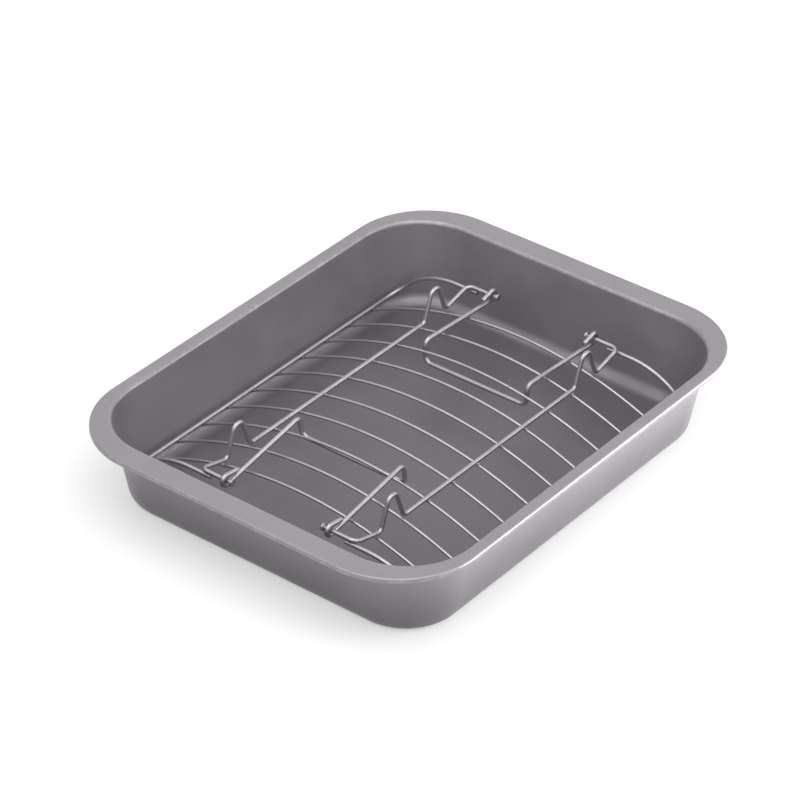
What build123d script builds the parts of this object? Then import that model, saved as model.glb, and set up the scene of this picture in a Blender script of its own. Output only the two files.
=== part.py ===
from build123d import *
from math import acos, asin, atan2, cos, degrees, hypot, pi, sin, sqrt
import os

os.makedirs("parts", exist_ok=True)

# Roasting pan with a loose wire rack lying in it, lengths in millimetres.
# The origin is the middle of the pan's underside. X runs across the pan, Y along
# it from the front end to the rear end, and Z points up.

# Pan: one drawn steel shell
PAN_LENGTH = 370.0
PAN_WIDTH = 290.0
PAN_HEIGHT = 60.0
PAN_CORNER = 59.0
SHEET = 0.8
END_FLANGE = 16.8
SIDE_FLANGE = 8.6
FLANGE_CORNER = 48.5
WALL_TAPER = 11.0
BASE_ROUND = 10.0
FOLD_ROUND = 3.0
LIP_DROP = 3.1
LIP_ROUND = 1.4

# Rack: wire sizes
BAR_WIRE = 3.0
OUTER_WIRE = 3.0
CROSS_WIRE = 2.0
HANDLE_WIRE = 3.2

# Rack: the arched grill of cross wires, which stands on the pan's bottom rounds
CROSS_COUNT = 10
CROSS_PITCH = 25.3
CROSS_CENTRE = -1.5
ARCH_RADIUS = 271.0
WALL_CLEARANCE = 1.0
SEAT_CLEARANCE = 0.3
WELD_GAP = 0.05

# Rack: the outer wires, bent up at both ends into arms that end under the pins
OUTER_INSET = 2.5
OUTER_BEND = 15.0
ARM_PAST_BAR = 8.0
ARM_LEVEL_RUN = 18.0

# Rack: the long bars with their hairpin feet and hinge pins
BAR_SPACING = 124.2
BAR_BEND = 5.0
PIN_SPACING = 275.6
PIN_CENTRE = 1.5
PIN_RISE = 6.2
PIN_LENGTH = 26.0
PIN_HEAD = 5.0
PIN_HEAD_THICKNESS = 1.6
HAIRPIN_SPACING = 203.0
HAIRPIN_CENTRE = 1.0
HAIRPIN_WIDTH = 22.5
HAIRPIN_HEIGHT = 21.5
HAIRPIN_TOP = 6.9
HAIRPIN_TOP_BEND = 4.5
HAIRPIN_FOOT_BEND = 4.0

# Handles: one bent wire each, whose two legs end in long eyes round the hinge pins
HANDLE_WIDTH = 84.0
HANDLE_REACH = 72.5
GRIP_DROP = 16.0
GRIP_BEND = 5.5
DROP_BEND = 4.0
EYE_CLEARANCE = 0.4
EYE_RETURN = 10.0
EYE_GAP = 0.6
REST_CLEARANCE = 0.3

# The pan's lines that the rack is seated on
fold_width = PAN_WIDTH - 2 * SIDE_FLANGE
fold_length = PAN_LENGTH - 2 * END_FLANGE
base_width = fold_width - 2 * WALL_TAPER
base_length = fold_length - 2 * WALL_TAPER
base_corner = FLANGE_CORNER - WALL_TAPER
inner_round = BASE_ROUND - SHEET
wall_height = PAN_HEIGHT - SHEET
wall_slant = hypot(WALL_TAPER, wall_height)
round_centre_x = (
    base_width / 2 - SHEET + (inner_round * WALL_TAPER - inner_round * wall_slant) / wall_height
)
round_centre_z = SHEET + inner_round


def wire_along(edges, diameter):
    """A round wire along lines and tangent arcs."""
    path = Wire(edges)
    start = Plane(origin=path @ 0, z_dir=path % 0)
    return sweep(start * Circle(diameter / 2), path=path)


# The grill's arch, seen along Y: an arc whose ends stand in the pan's bottom rounds
arch_half = round_centre_x + inner_round - WALL_CLEARANCE
end_slope = asin(arch_half / ARCH_RADIUS)
end_corner_x = arch_half - CROSS_WIRE / 2 * sin(end_slope)
seat_reach = inner_round - SEAT_CLEARANCE
end_corner_z = round_centre_z - sqrt(seat_reach**2 - (end_corner_x - round_centre_x) ** 2)
arch_end_z = end_corner_z + CROSS_WIRE / 2 * cos(end_slope)
arch_centre_z = arch_end_z - ARCH_RADIUS * cos(end_slope)


def height_on_arch(x, diameter):
    """Height of a wire's centre that lies along Y on top of the cross wires at x."""
    reach = ARCH_RADIUS + CROSS_WIRE / 2 + WELD_GAP + diameter / 2
    return arch_centre_z + sqrt(reach**2 - x**2)


bar_x = BAR_SPACING / 2
bar_z = height_on_arch(bar_x, BAR_WIRE)
outer_x = arch_half - OUTER_INSET
outer_z = height_on_arch(outer_x, OUTER_WIRE)
pin_z = bar_z + PIN_RISE
front_pin_y = PIN_CENTRE - PIN_SPACING / 2
rear_pin_y = PIN_CENTRE + PIN_SPACING / 2
hairpin_places = [HAIRPIN_CENTRE - HAIRPIN_SPACING / 2, HAIRPIN_CENTRE + HAIRPIN_SPACING / 2]
front_run = hairpin_places[0] - HAIRPIN_WIDTH / 2 - front_pin_y
rear_run = rear_pin_y - hairpin_places[1] - HAIRPIN_WIDTH / 2
bar_end_slope = atan2(PIN_RISE, min(front_run, rear_run))
arm_drop = ((BAR_WIRE + OUTER_WIRE) / 2 + WELD_GAP) / cos(bar_end_slope)
arm_z = pin_z - arm_drop
rear_cross_y = CROSS_CENTRE + CROSS_PITCH * (CROSS_COUNT - 1) / 2
cross_places = [rear_cross_y - CROSS_PITCH * number for number in range(CROSS_COUNT)]


def rounded_section(width, length, corner, height):
    """A rounded rectangle in a level plane."""
    return Plane.XY.offset(height) * RectangleRounded(width, length, corner)


def tub(inset):
    """The tapered tub's solid, drawn in by inset all round and underneath."""
    foot = rounded_section(
        base_width - 2 * inset, base_length - 2 * inset, base_corner - inset, inset
    )
    mouth = rounded_section(
        fold_width - 2 * inset, fold_length - 2 * inset, FLANGE_CORNER - inset, PAN_HEIGHT
    )
    body = loft([foot, mouth])
    return fillet(body.faces().sort_by(Axis.Z)[0].edges(), BASE_ROUND - inset)


def rim_block(inset):
    """The rim's solid block, drawn in by inset at the edge and on top."""
    section = rounded_section(
        PAN_WIDTH - 2 * inset, PAN_LENGTH - 2 * inset, PAN_CORNER - inset, PAN_HEIGHT - LIP_DROP
    )
    block = extrude(section, LIP_DROP - inset)
    return fillet(block.faces().sort_by(Axis.Z)[-1].edges(), LIP_ROUND - inset)


def make_pan():
    """The drawn shell: tub, flat flange and turned-down lip, with a rounded fold."""
    rim = rim_block(0) - rim_block(SHEET)
    shell = tub(0) + rim - tub(SHEET)
    mouth = shell.faces().sort_by(Axis.Z)[-1].inner_wires()[0]
    return fillet(mouth.edges(), FOLD_ROUND)


def make_cross_wire(y):
    """One arched wire across the grill."""
    arc = ThreePointArc(
        (-arch_half, y, arch_end_z),
        (0, y, arch_centre_z + ARCH_RADIUS),
        (arch_half, y, arch_end_z),
    )
    return wire_along([arc.edge()], CROSS_WIRE)


def hairpin_points(side, y):
    """Corners of one upstanding hairpin, in order along Y."""
    top = bar_z + HAIRPIN_HEIGHT
    return [
        (side * bar_x, y - HAIRPIN_WIDTH / 2, bar_z),
        (side * bar_x, y - HAIRPIN_TOP / 2, top),
        (side * bar_x, y + HAIRPIN_TOP / 2, top),
        (side * bar_x, y + HAIRPIN_WIDTH / 2, bar_z),
    ]


def make_long_bar(side):
    """A long bar: hinge pin, bend, two hairpin feet, bend, hinge pin."""
    pin_x = side * (bar_x - PIN_LENGTH)
    points = [(pin_x, front_pin_y, pin_z), (side * bar_x, front_pin_y, pin_z)]
    for y in hairpin_places:
        points += hairpin_points(side, y)
    points += [(side * bar_x, rear_pin_y, pin_z), (pin_x, rear_pin_y, pin_z)]
    hairpin_bends = [HAIRPIN_FOOT_BEND, HAIRPIN_TOP_BEND, HAIRPIN_TOP_BEND, HAIRPIN_FOOT_BEND]
    bends = [BAR_BEND] + hairpin_bends + hairpin_bends + [BAR_BEND]
    bar = wire_along(FilletPolyline(*points, radius=bends).edges(), BAR_WIRE)
    for y in (front_pin_y, rear_pin_y):
        head_plane = Plane(origin=(pin_x, y, pin_z), z_dir=(side, 0, 0))
        bar += head_plane * Cylinder(
            PIN_HEAD / 2, PIN_HEAD_THICKNESS, align=(Align.CENTER, Align.CENTER, Align.MIN)
        )
    return bar


def arm_edges(side, y, outward):
    """One arm: a level run under the pin, an arc down, and the corner bend to the outer bar."""
    inner_x = bar_x - ARM_PAST_BAR
    flat_x = inner_x + ARM_LEVEL_RUN
    run = outer_x - flat_x
    slope = 2 * atan2(arm_z - outer_z, run + OUTER_BEND)
    arc_radius = (run - OUTER_BEND * cos(slope)) / sin(slope)
    foot_x = outer_x - OUTER_BEND * cos(slope)
    foot_z = outer_z + OUTER_BEND * sin(slope)

    def on_arc(angle):
        reach = arc_radius * sin(angle)
        return (side * (flat_x + reach), y, arm_z - arc_radius * (1 - cos(angle)))

    def on_bend(angle):
        back = OUTER_BEND * sin(angle)
        return (
            side * (foot_x + back * cos(slope)),
            y - outward * OUTER_BEND * (1 - cos(angle)),
            foot_z - back * sin(slope),
        )

    level = Line((side * inner_x, y, arm_z), on_arc(0))
    arc = ThreePointArc(on_arc(0), on_arc(slope / 2), on_arc(slope))
    bend = ThreePointArc(on_bend(0), on_bend(pi / 4), on_bend(pi / 2))
    return [level.edge(), arc.edge(), bend.edge()]


def make_outer_wire(side):
    """An outer wire: arm, corner bend, outer bar, corner bend, arm."""
    bar = Line(
        (side * outer_x, front_pin_y + OUTER_BEND, outer_z),
        (side * outer_x, rear_pin_y - OUTER_BEND, outer_z),
    )
    front = arm_edges(side, front_pin_y, -1)
    rear = arm_edges(side, rear_pin_y, 1)
    return wire_along(front + [bar.edge()] + rear, OUTER_WIRE)


eye_radius = (BAR_WIRE + HANDLE_WIRE) / 2 + EYE_CLEARANCE
leg_x = HANDLE_WIDTH / 2


def handle_rest_angle(pin_y):
    """How far a folded handle leans up from level until it meets a cross wire."""
    lean = asin(leg_x / ARCH_RADIUS)
    rise = arch_centre_z + ARCH_RADIUS * cos(lean) - pin_z
    apart = ((CROSS_WIRE + HANDLE_WIRE) / 2 + REST_CLEARANCE) / cos(lean)
    angles = []
    for cross_y in cross_places:
        run = abs(pin_y - cross_y)
        reach = hypot(run, rise)
        if run < HANDLE_REACH - apart:
            angles.append(atan2(rise, run) + asin((apart + eye_radius) / reach))
        elif run < HANDLE_REACH + apart:
            angles.append(atan2(rise, run) + acos((HANDLE_REACH - apart) / reach))
    return max(angles)


def make_handle(pin_y, inward):
    """A handle folded inward: long eye, leg, drop, grip, drop, leg, long eye."""
    eye_reach = hypot(eye_radius, EYE_RETURN)
    eye_opening = HANDLE_WIRE + EYE_GAP - eye_radius
    closing = acos(eye_opening / eye_reach) - atan2(EYE_RETURN, eye_radius)
    wrap = pi + closing

    def on_eye(x, angle):
        return (x, -inward * eye_radius * sin(angle), -eye_radius * cos(angle))

    def eye(x):
        arc = ThreePointArc(on_eye(x, 0), on_eye(x, wrap / 2), on_eye(x, wrap))
        arc_end = Vector(*on_eye(x, wrap))
        back = Line(arc_end, arc_end + Vector(0, inward * cos(closing), -sin(closing)) * EYE_RETURN)
        return [arc.edge(), back.edge()]

    grip_y = inward * HANDLE_REACH
    leg_z = -eye_radius
    grip_z = leg_z - GRIP_DROP
    points = [
        on_eye(leg_x, 0),
        (leg_x, grip_y, leg_z),
        (leg_x, grip_y, grip_z),
        (-leg_x, grip_y, grip_z),
        (-leg_x, grip_y, leg_z),
        on_eye(-leg_x, 0),
    ]
    bends = [DROP_BEND, GRIP_BEND, GRIP_BEND, DROP_BEND]
    bow = FilletPolyline(*points, radius=bends)
    right_eye = list(reversed(eye(leg_x)))
    handle = wire_along(right_eye + bow.edges() + eye(-leg_x), HANDLE_WIRE)
    lift = inward * degrees(handle_rest_angle(pin_y))
    return Pos(0, pin_y, pin_z) * Rot(X=lift) * handle


parts = {"pan": make_pan()}
for side_name, side in (("left", -1), ("right", 1)):
    parts[f"{side_name}_long_bar"] = make_long_bar(side)
    parts[f"{side_name}_outer_wire"] = make_outer_wire(side)
for number, cross_y in enumerate(cross_places, 1):
    parts[f"cross_wire_{number:02d}"] = make_cross_wire(cross_y)
parts["front_handle"] = make_handle(front_pin_y, 1)
parts["rear_handle"] = make_handle(rear_pin_y, -1)

for name, shape in parts.items():
    export_step(shape, f"parts/{name}.step")
    print(name, "solids", len(shape.solids()), "volume", round(shape.volume, 1))
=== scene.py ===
from math import cos, radians, sin

import bmesh
import bpy
from mathutils import Matrix, Vector, noise


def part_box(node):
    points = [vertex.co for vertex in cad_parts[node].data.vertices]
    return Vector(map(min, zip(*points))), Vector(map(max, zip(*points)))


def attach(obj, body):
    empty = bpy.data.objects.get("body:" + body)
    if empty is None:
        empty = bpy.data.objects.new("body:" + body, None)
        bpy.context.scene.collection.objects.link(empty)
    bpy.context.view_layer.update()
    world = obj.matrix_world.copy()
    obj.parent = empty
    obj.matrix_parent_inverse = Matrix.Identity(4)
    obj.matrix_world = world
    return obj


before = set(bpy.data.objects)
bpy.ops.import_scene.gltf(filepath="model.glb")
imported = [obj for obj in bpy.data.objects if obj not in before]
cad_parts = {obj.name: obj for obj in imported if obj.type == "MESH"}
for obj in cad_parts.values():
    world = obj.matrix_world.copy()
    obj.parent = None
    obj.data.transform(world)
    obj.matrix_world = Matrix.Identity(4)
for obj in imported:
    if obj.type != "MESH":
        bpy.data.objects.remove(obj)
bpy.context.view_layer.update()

# Roasting pan with a loose wire rack, in metres, in the frame's own axes

# Camera, from a perspective fit to the pan's rim
CAMERA_AZIMUTH = radians(37.971)
CAMERA_ELEVATION = radians(34.216)
CAMERA_ROLL = radians(0.513)
CAMERA_DISTANCE = 2.3353
CAMERA_REACH = 50.0
FRAME_PIXELS = 800
FOCAL_PIXELS = 3649.6
RIM_CENTRE_PIXEL = (413.838, 380.785)
SENSOR = 36.0

# Pan: flanges and corner radii seen from above
RIM_CORNER = 0.059
FOLD_CORNER = 0.0485
END_FLANGE = 0.0168
SIDE_FLANGE = 0.0086

# Rack: each long bar is welded to the cross wires between its hairpins
BAR_WIRE = 0.0030
OUTER_WIRE = 0.0030
CROSS_COUNT = 10
BAR_WELDS = range(2, CROSS_COUNT - 1)

# Weld beads
WELD_LENGTH = 0.0040
WELD_WIDTH = 0.0031
WELD_HEIGHT = 0.0015
WELD_SUBDIVISIONS = 3
WELD_LUMPS = 3.1
WELD_LUMP_SHARE = 0.16
WELD_SEEDS_PER_METRE = 90
RAY_CLEARANCE = 0.01

# Coating: colours, and painted shade that darkens the walls, the floor and the outside from below
# the rim down
COATING = (0.300, 0.282, 0.303, 1.0)
COATING_DARK = (0.254, 0.239, 0.258, 1.0)
# Lighter coating along the lip and the fold of the flange: part wear, part painted highlight
COATING_WEAR_AND_HIGHLIGHT = (0.43, 0.41, 0.43, 1.0)
WALL_PAINTED_SHADE = (1.0, 0.985, 1.0, 1.0)
FLOOR_PAINTED_SHADE = (0.56, 0.545, 0.56, 1.0)
OUTSIDE_PAINTED_SHADE = (0.62, 0.61, 0.625, 1.0)
PAINTED_SHADE_STARTS_BELOW_RIM = 0.004
PAINTED_SHADE_FULL_BELOW_RIM = 0.048

# Coating: the Z of a face's normal, from wall to floor and from outside to inside, which picks
# the painted shade
FLOOR_FACING = (0.45, 0.97)
INSIDE_FACING = (-0.08, 0.08)

# Coating: scales in cells per metre, depths and widths in metres
CLOUD_SCALE = 14.0
CLOUD_SHARE = 0.55
FLAKE_SCALE = 2600.0
FLAKE_SHARE = 0.3
PATCH_SCALE = 160.0
LIP_WEAR_AND_HIGHLIGHT_WIDTH = 0.0011
LIP_WEAR_AND_HIGHLIGHT_FULL_WIDTH = 0.0002
LIP_WEAR_AND_HIGHLIGHT_SHARE = 0.5
FOLD_WEAR_AND_HIGHLIGHT_WIDTH = 0.0022
FOLD_WEAR_AND_HIGHLIGHT_FULL_WIDTH = 0.0006
FOLD_WEAR_AND_HIGHLIGHT_SHARE = 0.3
SATIN_SCALE = 30.0
SATIN_ROUGHNESS = (0.36, 0.47)
WORN_SMOOTHER = 0.12
PEEL_SCALE = 1100.0
PEEL_DEPTH = 0.00006
DRAWN_SCALE = 55.0
DRAWN_STRETCH = (1, 1, 0.12)
DRAWN_DEPTH = 0.00025
WAVE_SCALE = 16.0
WAVE_STRETCH = (1.0, 0.45, 1.0)
WAVE_DEPTH = 0.0022
COATING_METALLIC = 0.5
CLEAR_COAT_WEIGHT = 0.12
CLEAR_COAT_ROUGHNESS = 0.22

# Plated wire: scales in cells per metre, depth in metres
CHROME = (0.39, 0.38, 0.395, 1.0)
CHROME_DULL = (0.30, 0.29, 0.305, 1.0)
SMUDGE_SCALE = 75.0
SMUDGE_SHARE = 0.55
SPECK_SCALE = 1500.0
SPECK_SHARE = 0.3
SPECK_ROUGHER = 0.1
WIRE_ROUGHNESS = (0.40, 0.50)
GRAIN_SCALE = 900.0
GRAIN_DEPTH = 0.00005
WIRE_METALLIC = 0.95

# Floor: it reads as white from near the object to far off
WHITE = (1, 1, 1, 1)
PAPER = (0.62, 0.62, 0.62, 1.0)
PAPER_ROUGHNESS = 0.9
FLOOR_GLOW_NEAR = 0.42
FLOOR_GLOW_FAR = 0.74
FLOOR_NEAR = 0.5
FLOOR_FAR = 2.5
FLOOR_HALF_SIZE = 6.0
FLOOR_SQUARES = 8

# World: strength as a light and as the white that is seen
WORLD_LIGHT = 0.44
WORLD_SEEN = 1.0

# Lamps: place, target, width and height in metres, power in watts
LAMPS = {
    "top_softbox": ((0.35, -0.7, 2.3), (0, 0, 0), (3.4, 3.0), 60),
    "rear_softbox": ((-0.3, 1.7, 1.3), (0, 0, 0), (2.8, 1.4), 2),
    "right_softbox": ((1.35, 0.95, 0.75), (0, 0, 0.02), (1.0, 0.8), 7),
    "right_strip": ((0.55, 0.42, 0.035), (0.145, 0, 0.03), (0.7, 0.05), 8),
}


class Shader:
    """A node material that is built from the shader backwards."""

    def __init__(self, name):
        self.material = bpy.data.materials.new(name)
        self.material.use_nodes = True
        self.tree = self.material.node_tree
        self.surface = self.tree.nodes["Principled BSDF"]
        self.place = self.add("ShaderNodeTexCoord").outputs["Object"]

    def add(self, kind, **settings):
        node = self.tree.nodes.new(kind)
        for name, value in settings.items():
            setattr(node, name, value)
        return node

    def link(self, source, target):
        self.tree.links.new(source, target)

    def put(self, target, value):
        """Link a socket to another one, or set its value."""
        if isinstance(value, bpy.types.NodeSocket):
            self.link(value, target)
        else:
            target.default_value = value

    def set(self, name, value):
        """Link or set one of the surface's own sockets."""
        self.put(self.surface.inputs[name], value)

    def math(self, operation, first, second=0.0, clamp=False):
        node = self.add("ShaderNodeMath", operation=operation, use_clamp=clamp)
        self.put(node.inputs[0], first)
        self.put(node.inputs[1], second)
        return node.outputs[0]

    def scaled(self, value, share):
        return self.math("MULTIPLY", value, share)

    def vector(self, operation, first, second=(0, 0, 0)):
        node = self.add("ShaderNodeVectorMath", operation=operation)
        self.put(node.inputs[0], first)
        self.put(node.inputs[1], second)
        return node.outputs["Value"] if operation == "LENGTH" else node.outputs["Vector"]

    def noise(self, scale, detail=3.0, rough=0.55, stretch=(1, 1, 1)):
        """Cloudy noise from 0 to 1, with scale cells per metre."""
        node = self.add("ShaderNodeTexNoise")
        self.link(self.vector("MULTIPLY", self.place, stretch), node.inputs["Vector"])
        node.inputs["Scale"].default_value = scale
        node.inputs["Detail"].default_value = detail
        node.inputs["Roughness"].default_value = rough
        return node.outputs["Fac"]

    def grains(self, scale):
        """Small cells with a random value each, with scale cells per metre."""
        node = self.add("ShaderNodeTexVoronoi")
        self.link(self.place, node.inputs["Vector"])
        node.inputs["Scale"].default_value = scale
        split = self.add("ShaderNodeSeparateColor")
        self.link(node.outputs["Color"], split.inputs[0])
        return split.outputs[0]

    def ramp(self, value, low, high, at_low=0.0, at_high=1.0):
        """A smooth step from at_low to at_high while value goes from low to high."""
        node = self.add("ShaderNodeMapRange", interpolation_type="SMOOTHSTEP")
        self.put(node.inputs["Value"], value)
        node.inputs["From Min"].default_value = low
        node.inputs["From Max"].default_value = high
        node.inputs["To Min"].default_value = at_low
        node.inputs["To Max"].default_value = at_high
        return node.outputs["Result"]

    def mix(self, share, first, second, blend="MIX"):
        node = self.add("ShaderNodeMix", data_type="RGBA", blend_type=blend)
        self.put(node.inputs["Factor"], share)
        self.put(node.inputs["A"], first)
        self.put(node.inputs["B"], second)
        return node.outputs["Result"]

    def upright_part(self, source):
        """The Z part of a vector socket."""
        split = self.add("ShaderNodeSeparateXYZ")
        self.link(source, split.inputs[0])
        return split.outputs["Z"]

    def height(self):
        """Height in the object's own frame, in metres."""
        return self.upright_part(self.place)

    def upward(self):
        """How far the surface faces up, from -1 to 1."""
        return self.upright_part(self.add("ShaderNodeNewGeometry").outputs["Normal"])

    def bump(self, height, depth, strength=1.0, under=None):
        node = self.add("ShaderNodeBump")
        node.inputs["Strength"].default_value = strength
        node.inputs["Distance"].default_value = depth
        self.link(height, node.inputs["Height"])
        if under:
            self.link(under, node.inputs["Normal"])
        return node.outputs["Normal"]

    def distance_in(self, half_width, half_length, corner):
        """Distance outward from a rounded rectangle seen from above, less than 0 inside it."""
        flat = self.vector("MULTIPLY", self.vector("ABSOLUTE", self.place), (1, 1, 0))
        past = self.vector("SUBTRACT", flat, (half_width - corner, half_length - corner, 0))
        reach = self.vector("LENGTH", self.vector("MAXIMUM", past, (0, 0, 0)))
        return self.math("SUBTRACT", reach, corner)


def coating_wear_and_highlight(shader, half_width, half_length):
    """Where the coating is lighter, partly from wear and partly as painted highlight: patches
    along the lip and along the fold of the flange.
    """
    lip = shader.distance_in(half_width, half_length, RIM_CORNER)
    lip_wear_and_highlight = shader.ramp(lip, -LIP_WEAR_AND_HIGHLIGHT_WIDTH, -LIP_WEAR_AND_HIGHLIGHT_FULL_WIDTH)
    fold = shader.distance_in(half_width - SIDE_FLANGE, half_length - END_FLANGE, FOLD_CORNER)
    off_fold = shader.math("ABSOLUTE", fold)
    fold_wear_and_highlight = shader.ramp(off_fold, FOLD_WEAR_AND_HIGHLIGHT_WIDTH, FOLD_WEAR_AND_HIGHLIGHT_FULL_WIDTH)
    patchy = shader.ramp(shader.noise(PATCH_SCALE, detail=5.0, rough=0.7), low=0.42, high=0.68)
    lip_share = shader.scaled(lip_wear_and_highlight, LIP_WEAR_AND_HIGHLIGHT_SHARE)
    fold_share = shader.scaled(fold_wear_and_highlight, FOLD_WEAR_AND_HIGHLIGHT_SHARE)
    return shader.math("MULTIPLY", shader.math("MAXIMUM", lip_share, fold_share), patchy)


def coated_steel():
    """Satin non-stick coating: metal flake, orange peel, drawing lines, painted shade below the
    rim, and edges lightened by wear and painted highlight.
    """
    half_width, half_length, rim_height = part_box("pan")[1]
    shader = Shader("coated_steel")
    clouds = shader.noise(CLOUD_SCALE, detail=4.0)
    cloudy = shader.ramp(clouds, low=0.3, high=0.7, at_high=CLOUD_SHARE)
    flake = shader.scaled(shader.grains(FLAKE_SCALE), FLAKE_SHARE)
    coat = shader.mix(shader.math("ADD", cloudy, flake), COATING_DARK, COATING)

    # Painted shade: the coating darkens from just below the rim down, most on the floor inside
    # and on the outside
    shade_starts = rim_height - PAINTED_SHADE_STARTS_BELOW_RIM
    shade_full = rim_height - PAINTED_SHADE_FULL_BELOW_RIM
    shade_below_rim = shader.ramp(shader.height(), shade_starts, shade_full)
    upward = shader.upward()
    inside_painted_shade = shader.mix(shader.ramp(upward, *FLOOR_FACING), WALL_PAINTED_SHADE, FLOOR_PAINTED_SHADE)
    painted_shade = shader.mix(shader.ramp(upward, *INSIDE_FACING), OUTSIDE_PAINTED_SHADE, inside_painted_shade)
    shaded_coat = shader.mix(1.0, coat, painted_shade, blend="MULTIPLY")
    coat = shader.mix(shade_below_rim, coat, shaded_coat)
    # Lip and fold lightened: part wear, part painted highlight
    wear_and_highlight = coating_wear_and_highlight(shader, half_width, half_length)
    shader.set("Base Color", shader.mix(wear_and_highlight, coat, COATING_WEAR_AND_HIGHLIGHT))

    smooth, matt = SATIN_ROUGHNESS
    satin = shader.ramp(shader.noise(SATIN_SCALE), low=0.3, high=0.7, at_low=smooth, at_high=matt)
    worn_smoother = shader.scaled(wear_and_highlight, WORN_SMOOTHER)
    shader.set("Roughness", shader.math("SUBTRACT", satin, worn_smoother))

    peel = shader.bump(shader.noise(PEEL_SCALE, detail=2.0), PEEL_DEPTH, strength=0.5)
    drawn = shader.noise(DRAWN_SCALE, detail=2.0, rough=0.5, stretch=DRAWN_STRETCH)
    lines = shader.bump(drawn, DRAWN_DEPTH, strength=0.35, under=peel)
    wavy = shader.noise(WAVE_SCALE, detail=2.0, rough=0.45, stretch=WAVE_STRETCH)
    shader.set("Normal", shader.bump(wavy, WAVE_DEPTH, strength=0.5, under=lines))
    shader.set("Metallic", COATING_METALLIC)
    shader.set("Coat Weight", CLEAR_COAT_WEIGHT)
    shader.set("Coat Roughness", CLEAR_COAT_ROUGHNESS)
    return shader.material


def chromed_wire():
    """Satin plated wire with smudges, duller specks and a fine grain."""
    shader = Shader("chromed_wire")
    smudge = shader.ramp(shader.noise(SMUDGE_SCALE, detail=5.0, rough=0.65), low=0.4, high=0.75)
    specks = shader.ramp(shader.grains(SPECK_SCALE), low=0.86, high=1.0)
    smudge_share = shader.scaled(smudge, SMUDGE_SHARE)
    speck_share = shader.scaled(specks, SPECK_SHARE)
    dull = shader.math("ADD", smudge_share, speck_share, clamp=True)
    shader.set("Base Color", shader.mix(dull, CHROME, CHROME_DULL))

    smooth, matt = WIRE_ROUGHNESS
    smudged = shader.ramp(smudge, low=0.0, high=1.0, at_low=smooth, at_high=matt)
    shader.set("Roughness", shader.math("ADD", smudged, shader.scaled(specks, SPECK_ROUGHER)))
    shader.set("Normal", shader.bump(shader.noise(GRAIN_SCALE), GRAIN_DEPTH, strength=0.4))
    shader.set("Metallic", WIRE_METALLIC)
    return shader.material


def seen_share(tree):
    """1 for what the camera sees, straight or mirrored, and 0 for light that falls on things."""
    path = tree.nodes.new("ShaderNodeLightPath")
    seen = path.outputs["Is Camera Ray"]
    for ray in ("Is Glossy Ray", "Is Transmission Ray"):
        either = tree.nodes.new("ShaderNodeMath")
        either.operation = "MAXIMUM"
        tree.links.new(seen, either.inputs[0])
        tree.links.new(path.outputs[ray], either.inputs[1])
        seen = either.outputs[0]
    return seen


def white_floor():
    """Pale matt floor that reads as white and keeps a soft shadow."""
    shader = Shader("floor")
    shader.set("Base Color", PAPER)
    shader.set("Roughness", PAPER_ROUGHNESS)
    shader.set("Specular IOR Level", 0.0)
    shader.set("Emission Color", WHITE)
    far_out = shader.vector("LENGTH", shader.place)
    glow = shader.ramp(far_out, FLOOR_NEAR, FLOOR_FAR, FLOOR_GLOW_NEAR, FLOOR_GLOW_FAR)
    shader.set("Emission Strength", shader.math("MULTIPLY", seen_share(shader.tree), glow))
    return shader.material


def mesh_object(name, mesh, finish):
    """An object of the scene from a bmesh, with one material."""
    data = bpy.data.meshes.new(name)
    mesh.to_mesh(data)
    mesh.free()
    data.materials.append(finish)
    made = bpy.data.objects.new(name, data)
    bpy.context.scene.collection.objects.link(made)
    return made


def wire_top(node, x, y):
    """Highest point of a cross wire at x, or none where nothing is hit."""
    start = Vector((x, y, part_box(node)[1][2] + RAY_CLEARANCE))
    hit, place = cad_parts[node].ray_cast(start, Vector((0, 0, -1)))[:2]
    return place if hit else None


def add_bead(mesh, place, seed):
    """A slightly uneven weld bead, longest along X."""
    made = bmesh.ops.create_icosphere(mesh, subdivisions=WELD_SUBDIVISIONS, radius=0.5)["verts"]
    for vert in made:
        lump = noise.noise(vert.co * WELD_LUMPS + Vector((seed, 0.0, 0.0)))
        spot = vert.co * (1 + WELD_LUMP_SHARE * lump)
        bead = Vector((spot.x * WELD_LENGTH, spot.y * WELD_WIDTH, spot.z * WELD_HEIGHT))
        vert.co = place + bead


def outermost_line(node, diameter):
    """How far from the middle the centre line of a wire's outermost stretch runs."""
    low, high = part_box(node)
    return max(abs(low[0]), abs(high[0])) - diameter / 2


def weld_beads(side, sign, finish):
    """The beads that join one side's long bar and outer wire to the cross wires."""
    mesh = bmesh.new()
    bar_x = sign * outermost_line(f"{side}_long_bar", BAR_WIRE)
    outer_x = sign * outermost_line(f"{side}_outer_wire", OUTER_WIRE)
    for number in range(1, CROSS_COUNT + 1):
        node = f"cross_wire_{number:02d}"
        low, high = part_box(node)
        y = (low[1] + high[1]) / 2
        places = [outer_x, bar_x] if number in BAR_WELDS else [outer_x]
        for x in places:
            place = wire_top(node, x, y)
            if place is not None:
                add_bead(mesh, place, number + x * WELD_SEEDS_PER_METRE)
    beads = mesh_object(f"{side}_weld_beads", mesh, finish)
    beads.data.polygons.foreach_set("use_smooth", [True] * len(beads.data.polygons))
    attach(beads, "rack")


def add_floor():
    """A level floor at the pan's underside, wider than any view of it."""
    mesh = bmesh.new()
    squares = FLOOR_SQUARES
    bmesh.ops.create_grid(mesh, x_segments=squares, y_segments=squares, size=FLOOR_HALF_SIZE)
    floor = mesh_object("floor", mesh, white_floor())


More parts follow.
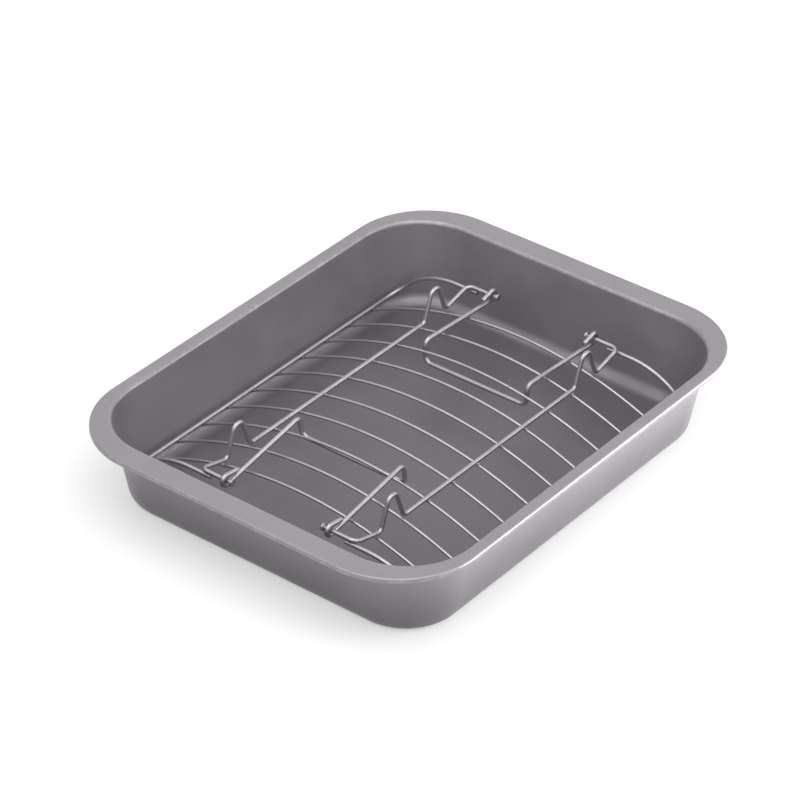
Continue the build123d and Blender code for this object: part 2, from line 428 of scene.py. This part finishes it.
def add_world():
    """A white world that gives less light than what is seen of it."""
    world = bpy.data.worlds.new("studio")
    bpy.context.scene.world = world
    world.use_nodes = True
    tree = world.node_tree
    background = tree.nodes["Background"]
    strength = tree.nodes.new("ShaderNodeMapRange")
    tree.links.new(seen_share(tree), strength.inputs["Value"])
    strength.inputs["To Min"].default_value = WORLD_LIGHT
    strength.inputs["To Max"].default_value = WORLD_SEEN
    background.inputs["Color"].default_value = WHITE
    tree.links.new(strength.outputs["Result"], background.inputs["Strength"])


def add_lamp(name, place, target, size, power):
    """A soft rectangular lamp that faces target."""
    data = bpy.data.lights.new(name, "AREA")
    data.shape = "RECTANGLE"
    data.size, data.size_y = size
    data.energy = power
    lamp = bpy.data.objects.new(name, data)
    lamp.location = place
    facing = Vector(target) - Vector(place)
    lamp.rotation_euler = facing.to_track_quat("-Z", "Y").to_euler()
    lamp.visible_camera = False
    bpy.context.scene.collection.objects.link(lamp)


def add_camera():
    """The photograph's camera, which sees the rim's centre at its pixel."""
    right = Vector((cos(CAMERA_AZIMUTH), sin(CAMERA_AZIMUTH), 0))
    level = cos(CAMERA_ELEVATION)
    back_x = sin(CAMERA_AZIMUTH) * level
    back_y = -cos(CAMERA_AZIMUTH) * level
    back = Vector((back_x, back_y, sin(CAMERA_ELEVATION)))
    up = back.cross(right)
    turned_right = right * cos(CAMERA_ROLL) + up * sin(CAMERA_ROLL)
    turned_up = up * cos(CAMERA_ROLL) - right * sin(CAMERA_ROLL)
    across = (RIM_CENTRE_PIXEL[0] - FRAME_PIXELS / 2) / FOCAL_PIXELS
    above = (FRAME_PIXELS / 2 - RIM_CENTRE_PIXEL[1]) / FOCAL_PIXELS
    rim_centre = Vector((0, 0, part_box("pan")[1][2]))
    place = rim_centre + (back - turned_right * across - turned_up * above) * CAMERA_DISTANCE
    data = bpy.data.cameras.new("camera")
    data.sensor_width = SENSOR
    data.lens = SENSOR * FOCAL_PIXELS / FRAME_PIXELS
    data.clip_end = CAMERA_REACH
    camera = bpy.data.objects.new("camera", data)
    turn = Matrix((turned_right, turned_up, back)).transposed()
    camera.matrix_world = Matrix.Translation(place) @ turn.to_4x4()
    bpy.context.scene.collection.objects.link(camera)
    bpy.context.scene.camera = camera


def set_finish(node, finish):
    """Give every face of a CAD node the same material."""
    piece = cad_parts[node]
    if piece.data.materials:
        for slot in piece.material_slots:
            slot.material = finish
    else:
        piece.data.materials.append(finish)


steel = coated_steel()
chrome = chromed_wire()
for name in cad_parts:
    set_finish(name, steel if name == "pan" else chrome)
for side, sign in (("left", -1), ("right", 1)):
    weld_beads(side, sign, chrome)

add_floor()
add_world()
for name, (place, target, size, power) in LAMPS.items():
    add_lamp(name, place, target, size, power)
add_camera()

scene = bpy.context.scene
scene.view_settings.view_transform = "Standard"
